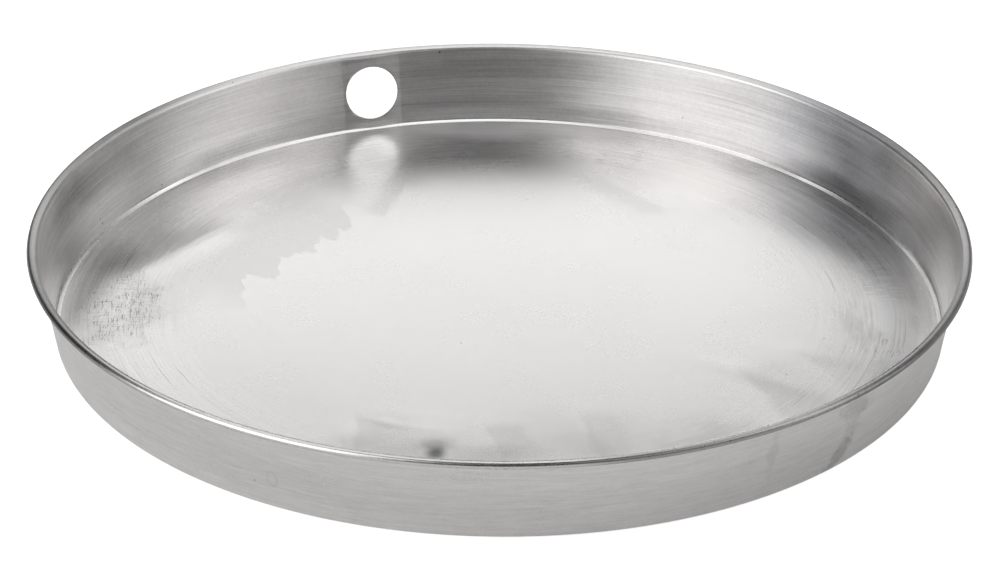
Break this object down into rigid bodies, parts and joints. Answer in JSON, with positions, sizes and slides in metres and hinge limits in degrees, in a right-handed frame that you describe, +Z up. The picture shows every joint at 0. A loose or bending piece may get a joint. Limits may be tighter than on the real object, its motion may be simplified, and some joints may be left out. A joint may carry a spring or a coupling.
{
  "type": "drain pan",
  "caption": "Shallow round drain pan spun from one aluminium sheet, with a drafted wall, a rolled rim and an open side outlet hole for a drain fitting.",
  "frame": {"origin": "centre of the flat underside, on the surface that the pan stands on", "axes": "+Z up out of the open top, +Y to the back, where the outlet is 19.25 degrees round from +Y towards -X"},
  "size_m": [0.6604, 0.6604, 0.063],
  "materials": {
    "aluminium_sheet": "bare spun sheet, satin, with fine circular spinning marks on the wall and the outer floor"
  },
  "bodies": {
    "root": {"pan": "aluminium_sheet"}
  },
  "joints": []
}
